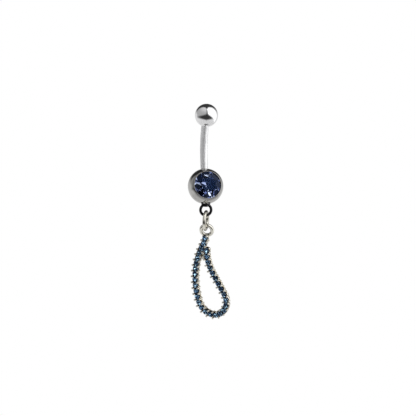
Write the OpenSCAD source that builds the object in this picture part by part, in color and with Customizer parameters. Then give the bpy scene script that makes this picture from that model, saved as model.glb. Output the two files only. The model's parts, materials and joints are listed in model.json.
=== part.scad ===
// Navel ring: a curved barbell with a plain ball on top and a stone-set ball below,
// a jump ring, and a teardrop pendant of small claw-set stones that hangs free.
// The origin is the middle of the bar, where it is worn. +Z is up along the bar,
// and the large stone faces -Y.

/* [Bar] */
// Thickness of the bar
bar_d = 1.6; // [1.2:0.1:2]
// Straight distance between the two balls
bar_span = 10; // [8:0.5:12]
// Radius of the bar's curve
bend_r = 12; // [10:1:20]
// Thickness of the bar's end that is set in the lower ball
spigot_d = 1.3; // [1:0.05:1.5]
// Length of that end
spigot_l = 1.5; // [1:0.1:1.8]
// Outer diameter of the screw thread at the top end
thread_d = 1.4; // [1:0.05:1.5]
// Length of the screw thread
thread_l = 2.4; // [1.6:0.1:2.8]
// Distance between two turns of the thread
thread_pitch = 0.4; // [0.3:0.05:0.6]
// Depth of the thread
thread_depth = 0.12; // [0.08:0.01:0.16]

/* [Balls] */
// Diameter of the plain top ball
top_ball_d = 5; // [4:0.25:6]
// Diameter of the lower ball
gem_ball_d = 7.7; // [7:0.1:9]
// Angle at which the large stone looks up
gem_lean = 21; // [0:1:30]
// Angle at which the loop under the lower ball leans forward
loop_lean = 8; // [0:1:25]

/* [Large stone] */
// Diameter of the large stone
gem_d = 5.9; // [4.5:0.1:6]
// Share of its diameter that the table has
gem_table = 0.56; // [0.5:0.01:0.65]
// Height of the crown above the girdle
crown_h = 0.85; // [0.6:0.05:1.1]
// Depth of the pavilion below the girdle
pavilion_h = 2.2; // [1.8:0.1:2.4]
// Thickness of the girdle
girdle_h = 0.1; // [0.06:0.01:0.16]
// Thickness of the metal edge that is turned over the stone
lip_h = 0.12; // [0.08:0.01:0.2]
// How far that edge reaches over the stone
lip_over = 0.06; // [0.04:0.01:0.12]
// Width of metal between the stone and the ball's outside at that edge
rim_w = 0.13; // [0.1:0.01:0.2]

/* [Loop and jump ring] */
// Outer diameter of the loop under the lower ball
loop_d = 2.95; // [2.6:0.05:3.6]
// Thickness of the loop's wire
loop_wire = 0.6; // [0.5:0.05:0.8]
// Diameter of the collar between the ball and the loop
collar_d = 2; // [1.4:0.1:2.6]
// Height at which the collar stands below the ball
collar_drop = 0.1; // [0.05:0.01:0.2]
// Diameter of the neck between the collar and the loop
neck_d = 1.1; // [0.8:0.05:1.4]
// Outer diameter of the jump ring
jump_d = 4.55; // [4:0.05:6]
// Thickness of the jump ring's wire
jump_wire = 0.75; // [0.5:0.05:0.8]
// Angle between the jump ring and the front, to the left
jump_turn = 23; // [0:1:45]

/* [Pendant] */
// Outer diameter of the ring that the pendant hangs by
eye_d = 3.2; // [2.8:0.05:4]
// Thickness of that ring's wire
eye_wire = 0.8; // [0.5:0.05:0.9]
// Angle at which that ring turns to the left
eye_turn = 20; // [0:1:45]
// Angle at which the top of that ring leans forward
eye_lean = 15; // [0:1:30]
// Angle at which the pendant turns to the left
drop_turn = 41; // [0:1:60]
// Angle at which the foot of the pendant hangs back
drop_lean = 7; // [0:1:15]
// Angle to the left of its top at which that ring rests on the jump ring
eye_roll = 10; // [0:1:20]
// Height of the ring's middle above the middle of the first stone
eye_rise = 1.65; // [1.2:0.05:1.8]
// Distance of the ring's middle to the right of the first stone
eye_shift = 0.2; // [-0.2:0.05:0.4]
// Number of small stones
stone_count = 30; // [26:1:32]
// Diameter of a small stone
stone_d = 1.2; // [1:0.01:1.24]
// Height of a small stone above its girdle
stone_crown = 0.22; // [0.16:0.01:0.3]
// Depth of a small stone below its girdle
stone_pavilion = 0.55; // [0.4:0.01:0.6]
// Distance between the middles of two small stones
pitch = 1.31; // [1.26:0.01:1.4]
// Width of the band under the stones
band_w = 1.3; // [1.2:0.05:1.6]
// Height of that band
band_h = 0.8; // [0.7:0.05:1.2]
// Diameter of a claw
claw_d = 0.38; // [0.3:0.02:0.44]
// Diameter of a claw's round tip
claw_tip_d = 0.46; // [0.4:0.02:0.56]
// Height of the claw tips' middles above the band
claw_h = 0.38; // [0.3:0.02:0.6]
// Distance of a claw's foot from the middle of the band
claw_off = 0.58; // [0.5:0.02:0.7]
// Angle at which a claw leans outward
claw_lean = 14; // [0:1:20]
// Diameter of the notches across the back of the band
notch_d = 0.42; // [0.3:0.02:0.5]

/* [Fits] */
// Gap between a piece and its seat
seat_gap = 0.03; // [0.02:0.01:0.05]
// Gap between the thread and the bore of the top ball
run_gap = 0.04; // [0.02:0.01:0.08]
// Gap between two rings that hang in each other
link_gap = 0.06; // [0.03:0.01:0.1]

/* [Hidden] */
$fn = 96;

steel = "lightgray";
silver = "silver";
sapphire = "midnightblue";

// How the pendant's middle line runs from its top, down the left strand, round the foot
// and up the right strand: how many parts of its length a stretch takes, and the angle
// that the stretch turns. With 30 stones a part is the step from one stone to the next.
strand_parts = 0;
strand_turn = 1;
strand = [
    [1, -32],
    [11, 48],
    [9, 194],
    [4, 0],
    [4, -33]
];
strand_heading = -89.5;
all_parts = [for (row = strand) row[strand_parts]] * [for (row = strand) 1];
strand_l = (stone_count - 1) * pitch;
end_share = 0.35;

// The bar
bar_r = bar_d / 2;
half_bend = asin(bar_span / 2 / bend_r);
bar_end_y = bend_r * (cos(half_bend) - 1);
up_along_bar = [0, -sin(half_bend), cos(half_bend)];
down_along_bar = [0, -sin(half_bend), -cos(half_bend)];
top_end = [0, bar_end_y, bar_span / 2];
low_end = [0, bar_end_y, -bar_span / 2];

// The balls
top_ball_r = top_ball_d / 2;
gem_ball_r = gem_ball_d / 2;
bore_d = thread_d + 2 * run_gap;
spot_d = bar_d + 2 * thread_depth;
mouth_h = sqrt(top_ball_r * top_ball_r - spot_d * spot_d / 4);
top_ball_at = top_end + up_along_bar * (mouth_h + seat_gap);
gem_ball_at = low_end + down_along_bar * sqrt(gem_ball_r * gem_ball_r - bar_r * bar_r);

// The large stone's heights are measured along its axis from the ball's middle
gem_r = gem_d / 2;
crown_slope = crown_h / (gem_r * (1 - gem_table));
rim_r = gem_r + rim_w;
rim_h = sqrt(gem_ball_r * gem_ball_r - rim_r * rim_r);
lip_under = rim_h - lip_h;
gem_girdle_top = lip_under - seat_gap - lip_over * crown_slope;

// The loop and the rings that hang in it
loop_wire_r = loop_wire / 2;
loop_r = loop_d / 2 - loop_wire_r;
loop_dir = [0, -sin(loop_lean), -cos(loop_lean)];
loop_drop = gem_ball_r + collar_drop + loop_d / 2 - loop_wire / 2;
loop_at = gem_ball_at + loop_dir * loop_drop;
jump_pivot = loop_at + loop_dir * loop_r;
jump_wire_r = jump_wire / 2;
jump_r = jump_d / 2 - jump_wire_r;
jump_rise = loop_wire_r + jump_wire_r + link_gap;
jump_at = jump_pivot + [0, 0, jump_rise - jump_r];
drop_pivot = jump_at - [0, 0, jump_r];
eye_wire_r = eye_wire / 2;
eye_r = eye_d / 2 - eye_wire_r;
hang_at = drop_pivot + [0, 0, jump_wire_r + eye_wire_r + link_gap];
eye_up = [-sin(eye_turn) * sin(eye_lean), -cos(eye_turn) * sin(eye_lean), cos(eye_lean)];
eye_side = [cos(eye_turn), -sin(eye_turn), 0];
eye_at = hang_at + (eye_side * sin(eye_roll) - eye_up * cos(eye_roll)) * eye_r;

// The pendant lies in its own plane: x to the right, y up, z out of its face
drop_x = [cos(drop_turn), -sin(drop_turn), 0];
drop_y = [-sin(drop_turn) * sin(drop_lean), -cos(drop_turn) * sin(drop_lean), cos(drop_lean)];
drop_z = [-sin(drop_turn) * cos(drop_lean), -cos(drop_turn) * cos(drop_lean), -sin(drop_lean)];
eye_depth = eye_wire_r * 0.6;
drop_at = eye_at - drop_x * eye_shift - drop_y * eye_rise - drop_z * eye_depth;
stone_r = stone_d / 2;
stone_girdle = stone_d * 0.05;
stone_hole_r = stone_r * 0.78;
stone_sink = (stone_r - stone_hole_r) / stone_r * stone_pavilion - seat_gap;
girdle_z = band_h + stone_sink + seat_gap * 2;

function stone_name(i) = str("stone_", i < 10 ? "0" : "", i);

// A point on a strand, as [x, y, heading], moved on by a run that turns by an angle
function moved(p, run, turn) =
    turn == 0
        ? [p[0] + run * cos(p[2]), p[1] + run * sin(p[2]), p[2]]
        : let (r = run / turn * 180 / PI)
          [p[0] + r * (sin(p[2] + turn) - sin(p[2])),
           p[1] - r * (cos(p[2] + turn) - cos(p[2])),
           p[2] + turn];

function row_run(k) = strand[k][strand_parts] / all_parts * strand_l;

// The point where row k of the strand begins: the first begins at the first stone
function row_start(k) =
    k == 0
        ? [0, 0, strand_heading]
        : moved(row_start(k - 1), row_run(k - 1), strand[k - 1][strand_turn]);

// The point at a run s from the strand's beginning
function on_strand(s, k = 0) =
    k == len(strand) - 1 || s <= row_run(k)
        ? moved(row_start(k), s, strand[k][strand_turn] * s / row_run(k))
        : on_strand(s - row_run(k), k + 1);

function stone_at(i) = on_strand((i - 1) * pitch);

// Claws stand between the stones, and drawn in a little at both ends of the strand
function claw_run(i) =
    i == 0 ? -end_share * pitch
    : i == stone_count ? strand_l + end_share * pitch
    : (i - 0.5) * pitch;

function beside(p, off) = [p[0] - off * sin(p[2]), p[1] + off * cos(p[2])];

// The distance from a place in the pendant's plane to the nearest stone's middle
function nearest_stone(q) =
    min([for (i = [1 : stone_count]) norm(q - [stone_at(i)[0], stone_at(i)[1]])]);

function ring_points(n, r, z, first) =
    [for (k = [0 : n - 1]) [r * cos(first + k * 360 / n), r * sin(first + k * 360 / n), z]];

module on_bar_end(place, dir) {
    translate(place)
        rotate([dir[2] > 0 ? half_bend : 180 - half_bend, 0, 0])
            children();
}

module in_ball_facing() {
    translate(gem_ball_at)
        rotate([90 - gem_lean, 0, 0])
            children();
}

module in_loop() {
    translate(gem_ball_at)
        rotate([180 - loop_lean, 0, 0])
            children();
}

module in_drop() {
    translate(drop_at)
        rotate([0, 0, -drop_turn])
            rotate([90 + drop_lean, 0, 0])
                children();
}

module on_stone(i) {
    p = stone_at(i);
    translate([p[0], p[1], girdle_z])
        rotate([0, 0, p[2]])
            children();
}

module torus(r, wire_r) {
    rotate_extrude()
        translate([r, 0])
            circle(r = wire_r, $fn = 48);
}

// A cut stone with a table, a crown, a girdle and a pavilion, its girdle's foot at z = 0.
// mains is the number of main facets: star and kite facets lie between the table and
// the girdle, and long kites and halves run from the girdle to the point.
module brilliant(d, table, crown, girdle, pavilion, mains) {
    r = d / 2;
    step = 360 / mains;
    half = step / 2;
    table_r = r * table;
    star_r = (table_r * cos(half) + r) / 2;
    star_z = girdle + crown * (r - star_r * cos(half)) / (r - table_r);
    low_r = r * 0.3;
    low_z = -pavilion * (1 - low_r * cos(half) / r);
    points = concat(
        ring_points(mains, table_r, girdle + crown, 0),
        ring_points(mains, star_r, star_z, half),
        ring_points(2 * mains, r, girdle, 0),
        ring_points(2 * mains, r, 0, 0),
        ring_points(mains, low_r, low_z, half),
        [[0, 0, -pavilion]]
    );
    star_0 = mains;
    top_0 = 2 * mains;
    foot_0 = 4 * mains;
    low_0 = 6 * mains;
    tip = 7 * mains;
    faces = concat(
        [[for (k = [mains - 1 : -1 : 0]) k]],
        [for (k = [0 : mains - 1]) let (n = (k + 1) % mains, a = top_0 + 2 * k, b = top_0 + 2 * n)
            each [
                [k, n, star_0 + k],
                [k, star_0 + k, a],
                [n, b, star_0 + k],
                [star_0 + k, a + 1, a],
                [star_0 + k, b, a + 1]
            ]],
        [for (k = [0 : 2 * mains - 1]) let (n = (k + 1) % (2 * mains))
            each [
                [top_0 + k, top_0 + n, foot_0 + n],
                [top_0 + k, foot_0 + n, foot_0 + k]
            ]],
        [for (k = [0 : mains - 1]) let (n = (k + 1) % mains, a = foot_0 + 2 * k, b = foot_0 + 2 * n)
            each [
                [low_0 + k, a, a + 1],
                [low_0 + k, a + 1, b],
                [low_0 + k, tip, a],
                [low_0 + k, b, tip]
            ]]
    );
    polyhedron(points = points, faces = faces);
}

// A small stone with a table, eight crown facets and eight pavilion facets
module single_cut(d, table, crown, girdle, pavilion) {
    sides = 8;
    points = concat(
        ring_points(sides, d / 2 * table, girdle + crown, 0),
        ring_points(sides, d / 2, girdle, 0),
        ring_points(sides, d / 2, 0, 0),
        [[0, 0, -pavilion]]
    );
    tip = 3 * sides;
    faces = concat(
        [[for (k = [sides - 1 : -1 : 0]) k]],
        [for (level = [0, sides], k = [0 : sides - 1]) let (n = (k + 1) % sides)
            [level + k, level + n, level + sides + n, level + sides + k]],
        [for (k = [0 : sides - 1]) let (n = (k + 1) % sides)
            [2 * sides + k, 2 * sides + n, tip]]
    );
    polyhedron(points = points, faces = faces);
}

// The bar: a bent rod, a straight end that is set in the lower ball, and a thread on top
module curved_bar() {
    color(steel)
    union() {
        translate([0, -bend_r, 0])
            rotate([0, 90, 0])
                rotate([0, 0, 90 - half_bend])
                    rotate_extrude(angle = 2 * half_bend)
                        translate([bend_r, 0])
                            circle(r = bar_r, $fn = 48);
        on_bar_end(low_end, down_along_bar)
            translate([0, 0, -bar_r / 2])
                cylinder(h = bar_r / 2 + spigot_l, d = spigot_d, $fn = 48);
        on_bar_end(top_end, up_along_bar)
            thread();
    }
}

// The thread's turns are drawn as level ridges on a core
module thread() {
    crest_r = thread_d / 2;
    core_r = crest_r - thread_depth;
    turns = floor(thread_l / thread_pitch);
    rise = thread_l / turns;
    profile = concat(
        [[0, -bar_r / 2], [core_r, -bar_r / 2]],
        [for (k = [0 : turns - 1]) each [
            [core_r, (k + 0.1) * rise],
            [crest_r, (k + 0.45) * rise],
            [crest_r, (k + 0.6) * rise],
            [core_r, (k + 0.95) * rise]
        ]],
        [[core_r, thread_l], [0, thread_l]]
    );
    rotate_extrude($fn = 48)
        polygon(profile);
}

// The plain ball has a flat where it meets the bar, and a blind bore for the thread
module top_ball() {
    color(steel)
    translate(top_ball_at)
        rotate([half_bend, 0, 0])
            difference() {
                sphere(r = top_ball_r);
                translate([0, 0, -mouth_h - top_ball_r])
                    cylinder(h = top_ball_r, r = top_ball_r);
                translate([0, 0, -top_ball_r])
                    cylinder(h = top_ball_r - mouth_h + thread_l + 2 * seat_gap, d = bore_d, $fn = 48);
            }
}

// What is cut away for the large stone: a tapered seat, a groove for its girdle, and
// all that is in front of the turned edge
module stone_pocket() {
    pocket_r = gem_r + seat_gap;
    pocket_z = gem_girdle_top - girdle_h - seat_gap;
    rotate_extrude()
        polygon([
            [0, pocket_z - pavilion_h],
            [pocket_r * 0.1, pocket_z - pavilion_h],
            [pocket_r, pocket_z],
            [pocket_r, lip_under],
            [gem_r - lip_over, lip_under],
            [gem_r - lip_over, rim_h],
            [gem_ball_r, rim_h],
            [gem_ball_r, 2 * gem_ball_r],
            [0, 2 * gem_ball_r]
        ]);
}

// The lower ball holds the large stone under a turned edge, and carries the loop
module gem_ball() {
    color(steel)
    difference() {
        union() {
            translate(gem_ball_at)
                sphere(r = gem_ball_r);
            in_loop() {
                translate([0, 0, gem_ball_r / 2])
                    cylinder(h = gem_ball_r / 2 + collar_drop, d = collar_d, $fn = 48);
                translate([0, 0, gem_ball_r])
                    cylinder(h = collar_drop + loop_wire * 0.8, d = neck_d, $fn = 48);
                translate([0, 0, loop_drop])
                    rotate([90, 0, 0])
                        torus(loop_r, loop_wire_r);
            }
        }
        in_ball_facing()
            stone_pocket();
        on_bar_end(low_end, down_along_bar) {
            translate([0, 0, -spigot_l])
                cylinder(h = spigot_l + seat_gap, r = bar_r + seat_gap, $fn = 48);
            cylinder(h = spigot_l + 2 * seat_gap, d = spigot_d + 2 * seat_gap, $fn = 48);
        }
    }
}

module main_stone() {
    color(sapphire)
    in_ball_facing()
        translate([0, 0, gem_girdle_top - girdle_h])
            brilliant(gem_d, gem_table, crown_h, girdle_h, pavilion_h, 8);
}

module jump_ring() {
    color(silver)
    translate(jump_at)
        rotate([0, 0, -jump_turn])
            rotate([0, 90, 0])
                torus(jump_r, jump_wire_r);
}

// The band under the stones, one row of the strand at a time. Where two rows meet, a
// core inside the band joins them.
module band() {
    for (k = [0 : len(strand) - 1]) {
        p = row_start(k);
        run = row_run(k);
        turn = strand[k][strand_turn];
        if (turn == 0) {
            translate([p[0], p[1], 0])
                rotate([0, 0, p[2]])
                    translate([0, -band_w / 2, 0])
                        cube([run, band_w, band_h]);
        } else {
            r = run / turn * 180 / PI;
            centre = beside(p, r);
            first = turn > 0 ? p[2] - 90 : p[2] + 90 + turn;
            translate([centre[0], centre[1], 0])
                rotate([0, 0, first])
                    rotate_extrude(angle = abs(turn))
                        translate([abs(r) - band_w / 2, 0])
                            square([band_w, band_h]);
        }
        if (k > 0)
            translate([p[0], p[1], band_h * 0.1])
                cylinder(h = band_h * 0.8, r = band_w * 0.45, $fn = 48);
    }
}

// The band ends in a round cup at both ends
module end_cup(i) {
    p = stone_at(i);
    translate([p[0], p[1], 0])
        cylinder(h = band_h, r = band_w / 2 + seat_gap, $fn = 48);
}

// A claw with a round tip, leaning away from the middle of the band
module claw(q, away) {
    translate([q[0], q[1], band_h])
        rotate([0, 0, away])
            rotate([0, claw_lean, 0]) {
                translate([0, 0, -band_h / 2])
                    cylinder(h = band_h / 2 + claw_h, d = claw_d, $fn = 24);
                translate([0, 0, claw_h])
                    sphere(d = claw_tip_d, $fn = 24);
            }
}

// Pairs of claws stand between the stones, and where the strands meet only those
// that are clear of every stone
module claws() {
    reach = stone_r + claw_tip_d / 2;
    for (i = [0 : stone_count], side = [-1, 1]) {
        p = on_strand(claw_run(i));
        q = beside(p, side * claw_off);
        tip = beside(p, side * (claw_off + claw_h * tan(claw_lean)));
        if (nearest_stone(tip) > reach)
            claw(q, p[2] + side * 90);
    }
}

// The pendant is one casting: band, claws, the web where the strands part, and the eye
module pendant_frame() {
    web_at = (stone_at(5) + stone_at(stone_count - 1)) / 2;
    color(silver)
    difference() {
        union() {
            in_drop() {
                band();
                end_cup(1);
                end_cup(stone_count);
                claws();
                translate([web_at[0], web_at[1], 0])
                    cylinder(h = band_h * 0.8, r = pitch / 2, $fn = 48);
            }
            translate(eye_at)
                rotate([0, 0, -eye_turn])
                    rotate([90 + eye_lean, 0, 0])
                        torus(eye_r, eye_wire_r);
        }
        in_drop() {
            for (i = [1 : stone_count]) {
                p = stone_at(i);
                translate([p[0], p[1], -band_h])
                    cylinder(h = 3 * band_h, r = stone_hole_r, $fn = 32);
            }
            for (i = [1 : stone_count - 1]) {
                p = on_strand(claw_run(i));
                translate([p[0], p[1], 0])
                    rotate([0, 0, p[2]])
                        rotate([90, 0, 0])
                            cylinder(h = 2 * band_w, d = notch_d, center = true, $fn = 24);
            }
        }
    }
}

module stone(i) {
    color(sapphire)
    in_drop()
        on_stone(i)
            single_cut(stone_d, 0.55, stone_crown, stone_girdle, stone_pavilion);
}

curved_bar();
top_ball();
gem_ball();
main_stone();
jump_ring();
pendant_frame();
for (i = [1 : stone_count])
    stone(i);
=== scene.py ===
"""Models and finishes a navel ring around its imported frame: a curved barbell with a plain
ball and a stone-set ball, a jump ring, and a teardrop pendant of claw-set stones."""
import json
import math

import bpy
from bpy.props import FloatProperty, FloatVectorProperty, IntProperty, PointerProperty
from mathutils import Matrix, Vector
from mathutils.bvhtree import BVHTree


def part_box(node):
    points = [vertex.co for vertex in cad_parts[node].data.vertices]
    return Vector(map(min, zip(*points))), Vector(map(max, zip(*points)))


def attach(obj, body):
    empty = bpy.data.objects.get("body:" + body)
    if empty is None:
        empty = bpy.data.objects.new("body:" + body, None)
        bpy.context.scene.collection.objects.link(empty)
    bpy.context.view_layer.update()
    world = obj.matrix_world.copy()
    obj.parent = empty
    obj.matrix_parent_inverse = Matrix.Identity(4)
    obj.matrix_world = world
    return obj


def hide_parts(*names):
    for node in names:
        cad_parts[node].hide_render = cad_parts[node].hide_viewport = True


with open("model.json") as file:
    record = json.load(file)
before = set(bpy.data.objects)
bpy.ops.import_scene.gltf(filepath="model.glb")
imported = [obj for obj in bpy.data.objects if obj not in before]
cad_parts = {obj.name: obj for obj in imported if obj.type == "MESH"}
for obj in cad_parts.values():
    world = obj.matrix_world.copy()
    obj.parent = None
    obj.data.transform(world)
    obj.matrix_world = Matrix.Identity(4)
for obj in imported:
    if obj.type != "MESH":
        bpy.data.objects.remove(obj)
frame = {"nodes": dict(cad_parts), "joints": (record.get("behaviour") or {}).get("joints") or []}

bl_info = {
    "name": "Navel Ring",
    "version": (1, 0, 0),
    "blender": (4, 5, 0),
    "location": "View3D > Sidebar > Navel Ring",
    "description": "Models and finishes a curved-barbell navel ring with a hanging pendant",
    "category": "Add Mesh",
}

# Pieces are drawn in millimetres and brought to metres when they are put in place
MM = 0.001
# Corners that lie closer than this are one
MERGE = 1e-4

# How the pendant's line of stones runs: parts of its length, and degrees of turn
STRAND = ((1, -32), (11, 48), (9, 194), (4, 0), (4, -33))
STRAND_HEADING = -89.5
# Where the first and last claws stand beyond the end stones, as a share of the pitch
END_SHARE = 0.35
# Fits, in millimetres: round a seated piece, and round the thread
SEAT_GAP = 0.03
RUN_GAP = 0.04
# The lower ball's turned edge: its thickness, and its hold on the stone
LIP_H = 0.12
LIP_HOLD = 0.06
# How deep a joined shell reaches into its neighbour
ROOT = 0.4
# How far a cutting tool stands out of what it cuts
CLEAR = 0.1


# ---------------------------------------------------------------- sizes and colours

def length(name, text, mm):
    return FloatProperty(name=name, description=text, default=mm * MM, min=0.0,
                         unit='LENGTH', precision=5)


def angle(name, text, degrees):
    return FloatProperty(name=name, description=text, default=math.radians(degrees),
                         subtype='ANGLE', unit='ROTATION')


def colour(name, text, *value):
    return FloatVectorProperty(name=name, description=text, default=value + (1,), size=4,
                               min=0.0, max=1.0, subtype='COLOR')


def amount(name, text, value, top=10.0):
    return FloatProperty(name=name, description=text, default=value, min=0.0, max=top)


class NavelBarbell(bpy.types.PropertyGroup):
    """Sizes of the bar and of the two balls."""
    bar_d: length("Bar", "Thickness of the bar", 1.6)
    bar_span: length("Span", "Straight distance between the two balls", 10)
    bend_r: length("Bend", "Radius of the bar's curve", 12)
    spigot_d: length("Spigot", "Thickness of the bar's end in the lower ball", 1.3)
    spigot_l: length("Spigot length", "Length of that end", 1.5)
    thread_d: length("Thread", "Outer diameter of the screw thread", 1.4)
    thread_l: length("Thread length", "Length of the screw thread", 2.4)
    thread_pitch: length("Thread pitch", "Distance between two turns of the thread", 0.4)
    thread_depth: length("Thread depth", "Depth of the thread", 0.12)
    top_ball_d: length("Top ball", "Diameter of the plain ball", 5)
    gem_ball_d: length("Lower ball", "Diameter of the ball that holds the stone", 7.7)
    gem_lean: angle("Stone lean", "Angle at which the large stone looks up", 21)
    loop_lean: angle("Loop lean", "Angle at which the loop leans forward", 8)
    rim_w: length("Rim", "Width of metal beside the stone at its edge", 0.13)
    bead_over: length("Bead", "How far the turned edge's bead reaches over the stone", 0.08)
    collar_d: length("Collar", "Diameter of the collar over the loop", 2)
    collar_drop: length("Collar drop", "Height of the collar below the ball", 0.1)
    neck_d: length("Neck", "Diameter of the neck over the loop", 1.1)
    loop_d: length("Loop", "Outer diameter of the loop", 2.95)
    loop_wire: length("Loop wire", "Thickness of the loop's wire", 0.6)


class NavelStones(bpy.types.PropertyGroup):
    """Sizes of the cut stones."""
    gem_d: length("Large stone", "Diameter of the large stone", 5.9)
    gem_table: amount("Table", "Share of its diameter that its table has", 0.56, 0.7)
    gem_crown: length("Crown", "Height of its crown", 0.85)
    gem_girdle: length("Girdle", "Thickness of its girdle", 0.1)
    gem_pavilion: length("Pavilion", "Depth of its pavilion", 2.2)
    stone_d: length("Small stone", "Diameter of a small stone", 1.2)
    stone_table: amount("Small table", "Share of its diameter that its table has", 0.55, 0.7)
    stone_crown: length("Small crown", "Height of a small stone's crown", 0.22)
    stone_girdle: length("Small girdle", "Thickness of a small stone's girdle", 0.06)
    stone_pavilion: length("Small pavilion", "Depth of a small stone's pavilion", 0.55)


class NavelPendant(bpy.types.PropertyGroup):
    """Sizes of the jump ring and of the pendant's setting."""
    jump_d: length("Jump ring", "Outer diameter of the jump ring", 4.55)
    jump_wire: length("Jump ring wire", "Thickness of the jump ring's wire", 0.75)
    jump_turn: angle("Jump ring turn", "Angle between the jump ring and the front", 23)
    eye_d: length("Eye", "Outer diameter of the pendant's eye", 3.2)
    eye_wire: length("Eye wire", "Thickness of the eye's wire", 0.8)
    eye_turn: angle("Eye turn", "Angle at which the eye turns to the left", 20)
    eye_lean: angle("Eye lean", "Angle at which the eye's top leans forward", 15)
    eye_rise: length("Eye rise", "Height of the eye above the first stone", 1.65)
    eye_shift: length("Eye shift", "Distance of the eye to the right of the first stone", 0.2)
    stone_count: IntProperty(name="Stones", description="Number of small stones",
                             default=30, min=20, max=40)
    pitch: length("Pitch", "Distance between two small stones", 1.31)
    band_w: length("Band width", "Width of the setting's band", 1.3)
    band_h: length("Band height", "Height of the setting's band", 0.8)
    claw_d: length("Claw", "Diameter of a claw", 0.38)
    claw_tip_d: length("Claw tip", "Diameter of a claw's tip", 0.46)
    claw_h: length("Claw height", "Height of the claw tips above the band", 0.38)
    claw_off: length("Claw foot", "Distance of a claw's foot from the band's middle", 0.58)
    claw_lean: angle("Claw lean", "Angle at which a claw leans outward", 14)
    notch_d: length("Notch", "Diameter of the notches across the band's back", 0.42)
    gallery_d: length("Gallery", "Diameter of the small holes through the band's walls", 0.26)


class NavelFinishes(bpy.types.PropertyGroup):
    """Colours of the metals and stones."""
    steel: colour("Steel", "Polished steel of the plain ball", 0.64, 0.64, 0.65)
    # The lower ball's steel: a darker copy of the plain ball's steel as painted shade, and near
    # black beside the stone as a painted shadow line
    shaded_set_steel: colour("Set steel", "Steel of the lower ball", 0.50, 0.495, 0.48)
    rim_shade: colour("Rim steel", "That steel beside the stone", 0.09, 0.09, 0.10)
    bar_steel: colour("Bar steel", "Ground steel of the bar", 0.97, 0.97, 0.98)
    dark_steel: colour("Dark steel", "Steel of the loop", 0.045, 0.045, 0.05)
    plate: colour("Plating", "Silver plating", 0.80, 0.78, 0.70)
    # Painted dark reflection along the rings' wire
    plate_side_shade: colour("Plating on edges", "Plating along the rings' edges", 0.16, 0.15, 0.125)
    # Tarnish and painted shade where the casting is partly shut in
    plate_tarnish_shade: colour("Plating in corners", "Plating where it is shut in", 0.40, 0.32, 0.20)
    # Painted shade in the casting's deepest recesses and between the stones
    plate_deep_shade: colour("Plating in recesses", "Plating between the stones", 0.014, 0.026, 0.048)
    gem: colour("Large stone", "Its clearest facets", 0.54, 0.63, 0.84)
    gem_dark: colour("Large stone, dark", "Its darkest facets", 0.006, 0.01, 0.045)
    stone: colour("Small stones", "Their clearest facets", 0.46, 0.76, 1.0)
    stone_dark: colour("Small stones, dark", "Their darkest facets", 0.004, 0.012, 0.035)
    gloss: colour("Gloss", "Tint of what the stones' faces mirror", 0.10, 0.20, 0.55)
    foil: colour("Foil", "Foil behind the stones", 0.80, 0.82, 0.86)
    foil_dark: colour("Foil, dark", "The foil's darkest facets", 0.03, 0.045, 0.09)


class NavelStage(bpy.types.PropertyGroup):
    """The camera, the floor and the light."""
    azimuth: angle("Azimuth", "Camera angle to the left of the front", 12.5)
    elevation: angle("Elevation", "Camera angle above the object", 13.5)
    roll: angle("Roll", "How far the camera leans", 1.2)
    picture_w: length("Picture width", "Width of the picture at the object", 89.85)
    aim_right: length("Aim right", "Picture middle to the right of the lower ball", 0.518)
    aim_down: length("Aim down", "Picture middle below the lower ball", 4.687)
    lens: amount("Lens", "Focal length of the camera in millimetres", 400, 1000)
    floor_z: length("Floor depth", "Depth of the floor below the bar's middle", 100)
    floor_r: length("Floor radius", "Radius of the floor", 120)
    right_light: amount("Right light", "Brightness of the right softbox", 1.6)
    left_light: amount("Left light", "Brightness of the left softbox at its foot", 0.48)
    wall_light: amount("Wall light", "Brightness of the wall behind and the ground", 0.86)
    room_light: amount("Room light", "Brightness of the dim room", 0.04)
    card_light: amount("Card light", "Brightness of the cards that the stones pick up", 3.6)


class NavelRing(bpy.types.PropertyGroup):
    """All that a user can change."""
    barbell: PointerProperty(type=NavelBarbell)
    stones: PointerProperty(type=NavelStones)
    pendant: PointerProperty(type=NavelPendant)
    finishes: PointerProperty(type=NavelFinishes)
    stage: PointerProperty(type=NavelStage)


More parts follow.
